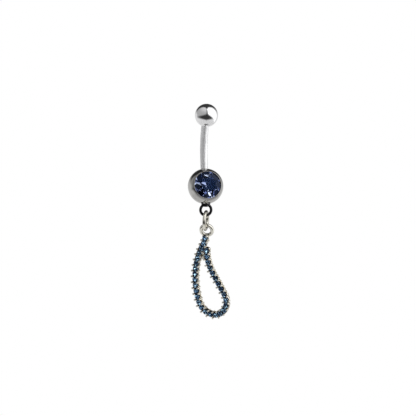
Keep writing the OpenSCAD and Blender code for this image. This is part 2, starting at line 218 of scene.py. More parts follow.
class Sizes:
    """The same sizes in millimetres, and the places that follow from them."""

    def __init__(self, ring):
        for group in (ring.barbell, ring.stones, ring.pendant):
            for name, prop in group.bl_rna.properties.items():
                if prop.type == 'FLOAT':
                    unit = MM if prop.unit == 'LENGTH' else 1
                    setattr(self, name, getattr(group, name) / unit)
        self.stone_count = ring.pendant.stone_count
        self.half_bend = math.asin(self.bar_span / 2 / self.bend_r)
        end_y = self.bend_r * (math.cos(self.half_bend) - 1)
        self.top_end = Vector((0, end_y, self.bar_span / 2))
        self.low_end = Vector((0, end_y, -self.bar_span / 2))
        self.gem_ball_r = self.gem_ball_d / 2
        down_bar = Vector((0, -math.sin(self.half_bend), -math.cos(self.half_bend)))
        reach = math.sqrt(self.gem_ball_r ** 2 - (self.bar_d / 2) ** 2)
        self.gem_ball_at = self.low_end + down_bar * reach
        low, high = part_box("top_ball")
        self.top_ball_at = Vector((0, (low.y + high.y) / 2, (low.z + high.z) / 2)) / MM
        self.gem_r = self.gem_d / 2
        self.rim_r = self.gem_r + self.rim_w
        self.rim_h = math.sqrt(self.gem_ball_r ** 2 - self.rim_r ** 2)
        crown_slope = self.gem_crown / (self.gem_r * (1 - self.gem_table))
        self.girdle_top = self.rim_h - LIP_H - SEAT_GAP - LIP_HOLD * crown_slope
        self.loop_r = (self.loop_d - self.loop_wire) / 2
        self.loop_drop = self.gem_ball_r + self.collar_drop + self.loop_r
        self.jump_r = (self.jump_d - self.jump_wire) / 2
        pivots = {j["name"]: Vector(j["pos_m"]) / MM for j in frame["joints"] if "pos_m" in j}
        self.jump_at = pivots["drop_swing"] + Vector((0, 0, self.jump_r))
        self.eye_r = (self.eye_d - self.eye_wire) / 2
        point, face = stone_point("stone_01")
        side = Vector((0, 0, 1)).cross(face).normalized()
        self.drop = Matrix((side, face.cross(side), face)).transposed()
        self.hole_r = self.stone_d / 2 * 0.78
        self.flare_r = self.hole_r * 1.12
        self.flare_z = self.band_h - 0.2
        sink = (1 - self.hole_r / (self.stone_d / 2)) * self.stone_pavilion
        self.girdle_z = self.band_h + sink + SEAT_GAP
        self.drop_at = point + face * (self.stone_pavilion - self.girdle_z)
        eye_off = Vector((self.eye_shift, self.eye_rise, self.eye_wire * 0.3))
        self.eye_at = self.drop_at + self.drop @ eye_off
        self.strand_l = (self.stone_count - 1) * self.pitch


def sizes():
    return Sizes(bpy.context.scene.navel_ring)


def finishes():
    return bpy.context.scene.navel_ring.finishes


def stone_point(node):
    """The point of a small stone of the frame, in millimetres, and the way the stone looks."""
    points = {tuple(round(c / MM, 4) for c in v.co): v.co / MM
              for v in frame["nodes"][node].data.vertices}.values()
    middle = sum(points, Vector()) / len(points)
    point = max(points, key=lambda p: (p - middle).length)
    return point, (middle - point).normalized()


# ---------------------------------------------------------------- the strand of stones

def moved(place, run, turn):
    """A point (x, y, heading) on the strand moved on by a run that turns by an angle."""
    x, y, heading = place
    if turn == 0:
        return x + run * math.cos(heading), y + run * math.sin(heading), heading
    r = run / turn
    after = heading + turn
    return x + r * (math.sin(after) - math.sin(heading)), \
        y - r * (math.cos(after) - math.cos(heading)), after


def on_strand(s, run):
    """The point on the strand at a run from its first stone."""
    place = (0.0, 0.0, math.radians(STRAND_HEADING))
    parts = sum(row[0] for row in STRAND)
    for k, (part, turn) in enumerate(STRAND):
        row = part / parts * s.strand_l
        turn = math.radians(turn)
        if run <= row or k == len(STRAND) - 1:
            return moved(place, run, turn * run / row)
        place = moved(place, row, turn)
        run -= row


def stone_place(s, i):
    return on_strand(s, (i - 1) * s.pitch)


def stone_spots(s):
    return [Vector(stone_place(s, i)[:2]) for i in range(1, s.stone_count + 1)]


def web_spot(s):
    """Where the strands part: midway between the fifth stone and the last but one."""
    spots = stone_spots(s)
    return (spots[4] + spots[-2]) / 2


def claw_run(s, i):
    if i == 0:
        return -END_SHARE * s.pitch
    if i == s.stone_count:
        return s.strand_l + END_SHARE * s.pitch
    return (i - 0.5) * s.pitch


def beside(place, off):
    x, y, heading = place
    return Vector((x - off * math.sin(heading), y + off * math.cos(heading), 0))


# ---------------------------------------------------------------- modelling helpers

def limited(value):
    return min(1.0, max(0.0, value))


def start_clean():
    if bpy.context.object and bpy.context.object.mode != 'OBJECT':
        bpy.ops.object.mode_set(mode='OBJECT')
    bpy.ops.object.select_all(action='DESELECT')


def named(name):
    """Names a new piece and lays its place into its mesh."""
    piece = bpy.context.object
    piece.name = piece.data.name = name
    bpy.ops.object.transform_apply(location=True, rotation=True, scale=True)
    return piece


def take(piece):
    """Makes a piece the one that operators work on."""
    start_clean()
    piece.select_set(True)
    bpy.context.view_layer.objects.active = piece


def edit(piece, mode='VERT'):
    take(piece)
    bpy.ops.object.mode_set(mode='EDIT')
    bpy.ops.mesh.select_mode(type=mode)
    bpy.ops.mesh.select_all(action='SELECT')


def leave_edit():
    bpy.ops.object.mode_set(mode='OBJECT')


def edit_some(piece, mode, wanted):
    """Opens a piece for editing with only the wanted edges or faces selected."""
    edit(piece, mode)
    bpy.ops.mesh.select_all(action='DESELECT')
    leave_edit()
    for one in (piece.data.edges if mode == 'EDGE' else piece.data.polygons):
        one.select = wanted(one)
    bpy.ops.object.mode_set(mode='EDIT')


def drawn_line(name, points):
    """A line of edges through points, drawn by extruding one corner of a small plane."""
    start_clean()
    bpy.ops.mesh.primitive_plane_add(size=0.1, location=(0, 0, 0))
    line = named(name)
    edit(line)
    bpy.ops.mesh.merge(type='CENTER')
    bpy.ops.transform.translate(value=points[0])
    for here, there in zip(points, points[1:]):
        step = tuple(b - a for a, b in zip(here, there))
        bpy.ops.mesh.extrude_region_move(TRANSFORM_OT_translate={"value": step})
    leave_edit()
    return line


def close_up(piece, fill=False):
    """Merges doubles, closes what is open if asked, and turns all faces outward."""
    edit(piece)
    bpy.ops.mesh.remove_doubles(threshold=MERGE)
    if fill:
        bpy.ops.mesh.fill_holes(sides=0)
    bpy.ops.mesh.select_all(action='SELECT')
    bpy.ops.mesh.normals_make_consistent(inside=False)
    leave_edit()
    return piece


def turned(name, profile, steps=96):
    """A lathe-turned piece: a profile of (radius, height) spun round the Z axis."""
    piece = drawn_line(name, [(r, 0, z) for r, z in profile])
    edit(piece)
    bpy.ops.mesh.spin(steps=steps, angle=2 * math.pi, center=(0, 0, 0), axis=(0, 0, 1))
    return close_up(piece)


def post(name, r, low, high, steps):
    """A plain round post along the Z axis."""
    return turned(name, [(0, low), (r, low), (r, high), (0, high)], steps)


def arc(middle, radius, first, last, steps):
    """Points (radius, height) on an arc, in degrees from the level."""
    turns = [math.radians(first + (last - first) * k / steps) for k in range(steps + 1)]
    return [(middle[0] + radius * math.cos(t), middle[1] + radius * math.sin(t)) for t in turns]


def wire_ring(name, radius, wire_r, sweep=360.0, steps=96):
    """A ring of round wire about the Z axis, open by the rest of the sweep."""
    start_clean()
    bpy.ops.mesh.primitive_circle_add(vertices=24, radius=wire_r, location=(radius, 0, 0),
                                      rotation=(math.pi / 2, 0, 0))
    ring = named(name)
    edit(ring)
    bpy.ops.mesh.spin(steps=steps, angle=math.radians(sweep), center=(0, 0, 0), axis=(0, 0, 1))
    return close_up(ring, fill=sweep < 360)


def joined(name, pieces):
    """Several shells as one piece."""
    take(pieces[0])
    for piece in pieces:
        piece.select_set(True)
    bpy.ops.object.join()
    return named(name)


def copied(piece, name, matrix):
    """A copy with its own mesh, moved by a matrix."""
    copy = piece.copy()
    copy.data = piece.data.copy()
    copy.name = copy.data.name = name
    bpy.context.scene.collection.objects.link(copy)
    copy.data.transform(matrix)
    return copy


def applied(piece, kind, name, **values):
    """Adds a modifier and applies it."""
    take(piece)
    modifier = piece.modifiers.new(name, kind)
    for key, value in values.items():
        setattr(modifier, key, value)
    bpy.ops.object.modifier_apply(modifier=name)


def rounded_ends(piece, width, segments):
    applied(piece, 'BEVEL', "edge", width=width, segments=segments, limit_method='ANGLE',
            angle_limit=math.radians(60))


def cut(piece, tool, matrix):
    """Cuts a tool out of a piece, once it is moved by a matrix."""
    tool.data.transform(matrix)
    applied(piece, 'BOOLEAN', "cut", object=tool, operation='DIFFERENCE', solver='EXACT')
    bpy.data.objects.remove(tool)


def put(piece, matrix, smooth=35.0):
    """Brings a piece from its own millimetres to its place, with the place in its mesh."""
    take(piece)
    piece.matrix_world = Matrix.Scale(MM, 4) @ matrix
    bpy.ops.object.transform_apply(location=True, rotation=True, scale=True)
    if smooth:
        bpy.ops.object.shade_smooth_by_angle(angle=math.radians(smooth))


def at(place, turn=None):
    return Matrix.Translation(place) @ (turn.to_4x4() if turn else Matrix.Identity(4))


def turned_x(radians):
    return Matrix.Rotation(radians, 3, 'X')


def turned_z(radians):
    return Matrix.Rotation(radians, 3, 'Z')


def finished(piece, body, slot, materials, *nodes):
    """Gives a piece its materials and its body, and hides the nodes that it stands for. Its slot
    is not used.
    """
    piece.data.materials.clear()
    for material in materials:
        piece.data.materials.append(material)
    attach(piece, body)
    if nodes:
        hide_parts(*nodes)


def mark(piece, name, value, domain='POINT'):
    """Stores a value for each corner or face of a piece, which its material reads."""
    mesh = piece.data
    marks = mesh.attributes.new(name, 'FLOAT', domain)
    for one in (mesh.vertices if domain == 'POINT' else mesh.polygons):
        marks.data[one.index].value = value(one)


def sky_directions(count=48):
    """Even directions over a half sphere round +Z, for measuring how deep a recess is."""
    golden = math.pi * (3 - math.sqrt(5))
    found = []
    for k in range(count):
        z = math.sqrt((k + 0.5) / count)
        flat = math.sqrt(1 - z * z)
        found.append(Vector((flat * math.cos(k * golden), flat * math.sin(k * golden), z)))
    return found


def mark_recesses(piece, reach=0.9, start=0.01):
    """Marks how shut-in each corner of a mesh is, from 0 in the open to 1 in a recess."""
    tree = BVHTree.FromObject(piece, bpy.context.evaluated_depsgraph_get())
    sky = sky_directions()

    def shut_in(v):
        turn = v.normal.to_track_quat('Z', 'Y')
        origin = v.co + v.normal * start
        return sum(tree.ray_cast(origin, turn @ d, reach)[0] is not None for d in sky) / len(sky)

    mark(piece, "recess", shut_in)


# ---------------------------------------------------------------- shader nodes

def feed(tree, socket, value):
    """Sets a socket to a value, or links it to the socket that gives it."""
    if isinstance(value, bpy.types.NodeSocket):
        tree.links.new(value, socket)
    else:
        socket.default_value = value


def add(tree, kind, **given):
    """A node: names in small letters are its settings, and come first, and names with a
    capital are its inputs, with _ for a space."""
    node = tree.nodes.new("ShaderNode" + kind)
    for name, value in given.items():
        if name[0].islower():
            setattr(node, name, value)
        else:
            feed(tree, node.inputs[name.replace("_", " ")], value)
    return node


def maths(tree, operation, *values):
    node = add(tree, "Math", operation=operation)
    for socket, value in zip(node.inputs, values):
        feed(tree, socket, value)
    return node.outputs["Value"]


def handling_marks(group, given):
    """The faint smears and hairlines that handling leaves on polish."""
    place = add(group, "TexCoord").outputs["Object"]
    smear = add(group, "TexNoise", Vector=place, Scale=420, Detail=3).outputs["Fac"]
    patch = add(group, "MapRange", Value=smear, From_Min=0.42, From_Max=0.72)
    rough = maths(group, 'MULTIPLY_ADD', patch.outputs["Result"], given["Smear"],
                  given["Roughness"])
    stretch = add(group, "Mapping", Vector=place, Rotation=(0.5, 0.3, 0.9),
                  Scale=(9000, 900, 9000))
    lines = add(group, "TexNoise", Vector=stretch.outputs["Vector"], Scale=1, Detail=4)
    height = maths(group, 'MULTIPLY', lines.outputs["Fac"], given["Hairline"])
    return {"Roughness": rough, "Height": height}


def soft_patches(group, given):
    """A colour that is a little darker in soft patches."""
    place = add(group, "TexCoord").outputs["Object"]
    noise = add(group, "TexNoise", Vector=place, Scale=given["Scale"], Detail=4)
    tone = add(group, "MapRange", Value=noise.outputs["Fac"], From_Min=0.4, From_Max=0.65,
               To_Min=given["Darkest"], To_Max=1)
    patched = add(group, "VectorMath", operation='SCALE', Vector=given["Color"],
                  Scale=tone.outputs["Result"])
    return {"Color": patched.outputs["Vector"]}


def marked_tones(group, given):
    """A colour that follows a mark, from dark at 0 to clear at 1."""
    clear = use(group, "soft_patches", Color=given["Clear"], Darkest=0.88, Scale=500)
    mix = add(group, "Mix", data_type='RGBA', Factor=given["Mark"], A=given["Dark"],
              B=clear["Color"])
    return {"Color": mix.outputs["Result"]}


# Effects that materials share, each with its inputs and its outputs
EFFECTS = {
    "handling_marks": (handling_marks, {"Roughness": 'Float', "Smear": 'Float',
                                        "Hairline": 'Float'},
                       {"Roughness": 'Float', "Height": 'Float'}),
    "soft_patches": (soft_patches, {"Color": 'Color', "Darkest": 'Float', "Scale": 'Float'},
                     {"Color": 'Color'}),
    "marked_tones": (marked_tones, {"Mark": 'Float', "Dark": 'Color', "Clear": 'Color'},
                     {"Color": 'Color'}),
}


def use(tree, effect, **values):
    """Places a shared effect, which is built the first time, and gives its outputs."""
    group = bpy.data.node_groups.get(effect)
    if not group:
        build, inputs, outputs = EFFECTS[effect]
        group = bpy.data.node_groups.new(effect, 'ShaderNodeTree')
        for way, sockets in (('INPUT', inputs), ('OUTPUT', outputs)):
            for name, kind in sockets.items():
                group.interface.new_socket(name, in_out=way, socket_type='NodeSocket' + kind)
        given, out = group.nodes.new("NodeGroupInput"), group.nodes.new("NodeGroupOutput")
        for name, value in build(group, given.outputs).items():
            group.links.new(value, out.inputs[name])
    return add(tree, "Group", node_tree=group, **values).outputs


# ---------------------------------------------------------------- materials

def material(name, fill):
    """A material by its name, filled in the first time that it is asked for."""
    made = bpy.data.materials.get(name)
    if not made:
        made = bpy.data.materials.new(name)
        made.use_nodes = True
        fill(made.node_tree, made.node_tree.nodes["Principled BSDF"])
    return made


def set_all(shader, **values):
    """Sets sockets of a shader to what holds all over the surface."""
    for name, value in values.items():
        shader.inputs[name.replace("_", " ")].default_value = value


def marked(attribute, dark, clear):
    """The colour of a piece whose marks go from dark to clear."""
    def colour_in(tree):
        share = add(tree, "Attribute", attribute_name=attribute).outputs["Fac"]
        return use(tree, "marked_tones", Mark=share, Dark=dark, Clear=clear)["Color"]
    return colour_in


def patched(tone, darkest=0.96, scale=260):
    """An even colour with faint patches."""
    def colour_in(tree):
        return use(tree, "soft_patches", Color=tone, Darkest=darkest, Scale=scale)["Color"]
    return colour_in


def tarnished_and_shaded(tree):
    """The casting's plating, with tarnish and painted shade in its recesses: warm where it is
    partly shut in, and near black where it is most shut in and between the stones.
    """
    tones = finishes()
    share = add(tree, "Attribute", attribute_name="recess").outputs["Fac"]
    ramp = add(tree, "ValToRGB", Fac=share)
    stops = ramp.color_ramp.elements
    stops[0].position, stops[0].color = 0.2, (1, 1, 1, 1)
    stops[1].position, stops[1].color = 0.9, tones.plate_deep_shade
    stops.new(0.55).color = tones.plate_tarnish_shade
    mix = add(tree, "Mix", data_type='RGBA', blend_type='MULTIPLY', Factor=1.0,
              A=ramp.outputs["Color"], B=patched(tones.plate, 0.9, 700)(tree))
    return mix.outputs["Result"]


def metal(name, colour_in, roughness, smear, hairline, **more):
    """A metal with the marks of handling."""
    def fill(tree, shader):
        set_all(shader, Metallic=1.0)
        feed(tree, shader.inputs["Base Color"], colour_in(tree))
        marks = use(tree, "handling_marks", Roughness=roughness, Smear=smear, Hairline=hairline)
        bump = add(tree, "Bump", Strength=0.25, Distance=2e-6, Height=marks["Height"])
        feed(tree, shader.inputs["Roughness"], marks["Roughness"])
        feed(tree, shader.inputs["Normal"], bump.outputs["Normal"])
        set_all(shader, **more)
    return material(name, fill)


def polished_steel():
    return metal("polished_steel", patched(finishes().steel), 0.035, 0.05, 0.35)


def shaded_set_steel():
    """The lower ball's steel: darker all over than the plain ball's steel as painted shade, and
    darker still close to the stone's edge, where a painted shadow line runs.
    """
    tones = finishes()
    return metal("shaded_set_steel", marked("open", tones.rim_shade, tones.shaded_set_steel), 0.045, 0.05, 0.4)


def brushed_steel():
    """Steel ground round the bar, which spreads its reflections along the bar."""
    return metal("brushed_steel", patched(finishes().bar_steel), 0.5, 0.05, 0.5,
                 Metallic=0.7, Anisotropic=0.92, Anisotropic_Rotation=0.25)


def dark_steel():
    return metal("dark_steel", patched(finishes().dark_steel, 0.75), 0.11, 0.06, 0.5)


def bright_plate():
    """The rings' plating, with painted dark reflections where the wire's mark is low."""
    tones = finishes()
    return metal("bright_plate", marked("open", tones.plate_side_shade, tones.plate), 0.06, 0.08, 0.6)


def cast_plate():
    return metal("cast_plate", tarnished_and_shaded, 0.15, 0.12, 1.0)


def cut_glass(name, dark, clear):
    def fill(tree, shader):
        set_all(shader, Metallic=0.0, Transmission_Weight=1.0, IOR=1.6, Roughness=0.0,
                Specular_Tint=finishes().gloss)
        feed(tree, shader.inputs["Base Color"], marked("shade", dark, clear)(tree))
    return material(name, fill)


def stone_foil():
    """The foiled back of the stones: a mirror with a tone for each facet."""
    def fill(tree, shader):
        tones = finishes()
        set_all(shader, Metallic=1.0, Roughness=0.008)
        feed(tree, shader.inputs["Base Color"],
             marked("shade", tones.foil_dark, tones.foil)(tree))
    return material("stone_foil", fill)


# ---------------------------------------------------------------- the pieces

def brilliant(name, d, table, crown, girdle, pavilion, sides, halves):
    """A stone cut facet by facet from a cylinder, its girdle's foot at z = 0."""
    r = d / 2
    top = girdle + crown
    start_clean()
    bpy.ops.mesh.primitive_cylinder_add(vertices=sides, radius=r, depth=pavilion + top,
                                        location=(0, 0, (top - pavilion) / 2))
    stone = named(name)
    edit(stone, 'FACE')
    main = math.atan(crown / (r * (1 - table)))
    under = math.atan(pavilion / r)
    star_r = r * table * math.cos(math.pi / 8)
    # each cut: its direction, its slope, a point on it, and whether it looks up or down
    cuts = []
    for k in range(8):
        cuts.append((45 * k, under, r, 0.0, -1))
        cuts.append((45 * k, main, r, girdle, 1))
        cuts.append((45 * k + 22.5, main * 0.66, star_r, top, 1))
    if halves:
        for k in range(16):
            cuts.append((22.5 * k + 11.25, under * 1.07, r, 0.0, -1))
            cuts.append((22.5 * k + 11.25, main * 1.2, r, girdle, 1))
    for azimuth, slope, reach, height, up in cuts:
        a = math.radians(azimuth)
        bpy.ops.mesh.select_all(action='SELECT')
        bpy.ops.mesh.bisect(
            plane_co=(reach * math.cos(a), reach * math.sin(a), height),
            plane_no=(math.sin(slope) * math.cos(a), math.sin(slope) * math.sin(a),
                      up * math.cos(slope)),
            use_fill=True, clear_outer=True, threshold=1e-5)
    return close_up(stone)


def shade_facets(stone, table_shade):
    """Marks each facet with a shade from 0, dark, to 1, clear, and gives the facets behind
    the girdle the foil, which is the stone's second material."""
    def shade(face):
        up = face.normal.z
        turn = round(math.degrees(math.atan2(face.normal.y, face.normal.x)) / 11.25) % 32
        share = (turn * 7 + round(up * 10) * 5) % 11 / 10
        return table_shade if up > 0.99 else share ** 4

    mark(stone, "shade", shade, 'FACE')
    for face in stone.data.polygons:
        face.use_smooth = False
        face.material_index = 1 if face.normal.z < -0.1 else 0


def mark_wire(ring, rim):
    """Marks a ring's wire: 1 on its rim and 0 on its faces, or the reverse; where it is 0 the
    plating gets painted dark reflections.
    """
    mark(ring, "open", lambda v: limited(2.2 * (1 - abs(v.normal.z)) if rim
                                         else 1.9 * abs(v.normal.z)))


class NavelOperator:
    """What every operator of this file has."""
    bl_options = {'REGISTER', 'UNDO'}


class NAVEL_OT_bar(NavelOperator, bpy.types.Operator):
    """Bent bar with a screw thread at its top end"""
    bl_idname = "navel_ring.bar"
    bl_label = "Curved Bar"

    def execute(self, context):
        s = sizes()
        edge = 0.08
        start_clean()
        bpy.ops.mesh.primitive_circle_add(vertices=48, radius=s.bar_d / 2, location=(0, 0, 0))
        rod = named("bar_rod")
        rod.data.transform(at(s.low_end, turned_x(-s.half_bend)))
        edit(rod)
        bpy.ops.mesh.spin(steps=72, angle=2 * s.half_bend, center=(0, -s.bend_r, 0),
                          axis=(-1, 0, 0))
        leave_edit()
        if max(v.co.z for v in rod.data.vertices) < 0:
            raise RuntimeError("the bar was bent the wrong way")
        close_up(rod, fill=True)
        rounded_ends(rod, edge, 3)
        thread = self.thread(s)
        thread.data.transform(at(s.top_end, turned_x(s.half_bend)))
        r = s.spigot_d / 2
        spigot = turned("bar_spigot", [(0, -ROOT), (r, -ROOT), (r, s.spigot_l - edge),
                                       (r - edge, s.spigot_l), (0, s.spigot_l)], 48)
        spigot.data.transform(at(s.low_end, turned_x(math.pi - s.half_bend)))
        bar = joined("bar", [rod, thread, spigot])
        put(bar, Matrix.Identity(4), smooth=40)
        finished(bar, "barbell", "polished_steel", [brushed_steel()], "curved_bar")
        return {'FINISHED'}

    def thread(self, s):
        """A true helix: a cam-shaped ring screwed upwards, then closed at both ends."""
        crest, core = s.thread_d / 2, s.thread_d / 2 - s.thread_depth
        start_clean()
        bpy.ops.mesh.primitive_circle_add(vertices=48, radius=core)
        screw = named("bar_thread")
        for v in screw.data.vertices:
            share = (math.atan2(v.co.y, v.co.x) / (2 * math.pi)) % 1
            lift = limited((share - 0.1) / 0.3) * limited((0.9 - share) / 0.3)
            v.co *= (core + (crest - core) * lift) / core
        turns = round(s.thread_l / s.thread_pitch)
        applied(screw, 'SCREW', "helix", axis='Z', angle=2 * math.pi, steps=32, render_steps=32,
                screw_offset=s.thread_pitch, iterations=turns, use_merge_vertices=False)
        screw.data.transform(Matrix.Diagonal((1, 1, s.thread_l / (turns * s.thread_pitch), 1)))
        close_up(screw, fill=True)
        return joined("bar_thread", [screw, post("bar_thread_foot", core, -ROOT, 0.1, 48)])


class NAVEL_OT_top_ball(NavelOperator, bpy.types.Operator):
    """Plain ball with a flat and a plain bore for the thread where it meets the bar"""
    bl_idname = "navel_ring.top_ball"
    bl_label = "Top Ball"

    def execute(self, context):
        s = sizes()
        r = s.top_ball_d / 2
        bore = s.thread_d / 2 + RUN_GAP
        spot = s.bar_d / 2 + s.thread_depth
        mouth = -math.sqrt(r * r - spot * spot)
        deep = mouth + s.thread_l + 2 * SEAT_GAP
        first = -math.degrees(math.acos(spot / r))
        # the bore, its lead-in, and the flat that meets the bar
        profile = [(0, deep), (bore, deep), (bore, mouth + 0.12), (bore + 0.09, mouth),
                   (spot - 0.03, mouth)]
        profile += arc((0, 0), r, first + 0.6, 90, 60)[:-1] + [(0, r)]
        ball = turned("ball", profile)
        put(ball, at(s.top_ball_at, turned_x(s.half_bend)))
        finished(ball, "top_ball", "polished_steel", [polished_steel()], "top_ball")
        return {'FINISHED'}


class NAVEL_OT_gem_ball(NavelOperator, bpy.types.Operator):
    """Lower ball with a turned edge that holds the large stone"""
    bl_idname = "navel_ring.gem_ball"
    bl_label = "Lower Ball"

    def execute(self, context):
        s = sizes()
        r = s.gem_ball_r
        edge = math.degrees(math.atan2(s.rim_h, s.rim_r))
        profile = [(0, -r)] + arc((0, 0), r, -90, edge - 1.0, 66)[1:]
        # the turned edge: a small rounded bead that leans over the stone
        lip_r = s.gem_r - s.bead_over
        bead_r = (s.rim_r - lip_r) / 2
        profile += arc((lip_r + bead_r, s.rim_h - bead_r * 0.75), bead_r, 38, 200, 12)
        pocket_r = s.gem_r + SEAT_GAP
        seat = s.girdle_top - s.gem_girdle - SEAT_GAP
        profile += [(lip_r + 0.01, s.girdle_top + 0.07), (pocket_r, s.girdle_top + 0.05),
                    (pocket_r, seat), (s.gem_r * 0.1, seat - s.gem_pavilion),
                    (0, seat - s.gem_pavilion)]
        ball = turned("gem_ball_shell", profile, 128)
        # this mark places the painted shadow line along the stone's edge
        mark(ball, "open", lambda v: self.openness(s, v))
        put(ball, at(s.gem_ball_at, turned_x(math.pi / 2 - s.gem_lean)))
        finished(ball, "barbell", "polished_steel", [shaded_set_steel()], "gem_ball")
        return {'FINISHED'}

    def openness(self, s, v):
        """How far the metal is from the stone's edge: little inside it, 1 in the open. The
        steel's painted shadow line follows it.
        """
        out = math.hypot(v.co.x, v.co.y)
        if out < s.rim_r - 0.14:
            return 0.1
        return limited(0.3 + math.hypot(out - s.rim_r, v.co.z - s.rim_h + LIP_H) / 0.8)


class NAVEL_OT_loop(NavelOperator, bpy.types.Operator):
    """Dark collar, neck and loop under the lower ball"""
    bl_idname = "navel_ring.loop"
    bl_label = "Lower Loop"

    def execute(self, context):
        s = sizes()
        collar_r, neck_r = s.collar_d / 2, s.neck_d / 2
        root, foot = s.gem_ball_r - 0.5, s.gem_ball_r + s.collar_drop
        edge, fillet = 0.06, 0.12
        profile = [(0, root), (collar_r, root)]
        profile += arc((collar_r - edge, foot - edge), edge, 0, 90, 5)
        profile += arc((neck_r + fillet, foot + fillet), fillet, -90, -180, 6)
        profile += [(neck_r, foot + s.loop_wire * 0.6), (neck_r * 0.8, foot + s.loop_wire * 0.8),
                    (0, foot + s.loop_wire * 0.8)]
        collar = turned("loop_collar", profile, 64)
        ring = wire_ring("loop_ring", s.loop_r, s.loop_wire / 2)
        ring.data.transform(at((0, 0, s.loop_drop), turned_x(math.pi / 2)))
        loop = joined("lower_loop", [collar, ring])
        put(loop, at(s.gem_ball_at, turned_x(math.pi - s.loop_lean)))
        finished(loop, "barbell", "polished_steel", [dark_steel()], "gem_ball")
        return {'FINISHED'}


class NAVEL_OT_large_stone(NavelOperator, bpy.types.Operator):
    """Large cut stone with a foiled back"""
    bl_idname = "navel_ring.large_stone"
    bl_label = "Large Stone"

    def execute(self, context):
        s = sizes()
        stone = brilliant("large_stone", s.gem_d, s.gem_table, s.gem_crown, s.gem_girdle,
                          s.gem_pavilion, sides=96, halves=True)
        shade_facets(stone, table_shade=0.7)
        stone.data.transform(at((0, 0, s.girdle_top - s.gem_girdle)))
        put(stone, at(s.gem_ball_at, turned_x(math.pi / 2 - s.gem_lean)), smooth=0)
        tones = finishes()
        glass = cut_glass("large_glass", tones.gem_dark, tones.gem)
        finished(stone, "barbell", "large_stone", [glass, stone_foil()], "main_stone")
        return {'FINISHED'}


class NAVEL_OT_jump_ring(NavelOperator, bpy.types.Operator):
    """Jump ring of round wire with a fine seam"""
    bl_idname = "navel_ring.jump_ring"
    bl_label = "Jump Ring"

    def execute(self, context):
        s = sizes()
        ring = wire_ring("link_ring", s.jump_r, s.jump_wire / 2, sweep=358.6, steps=112)
        rounded_ends(ring, 0.03, 2)
        mark_wire(ring, True)
        ring.data.transform(turned_z(math.radians(70)).to_4x4())
        put(ring, at(s.jump_at, turned_z(-s.jump_turn) @ Matrix.Rotation(math.pi / 2, 3, 'Y')))
        finished(ring, "link", "silver_plate", [bright_plate()], "jump_ring")
        return {'FINISHED'}


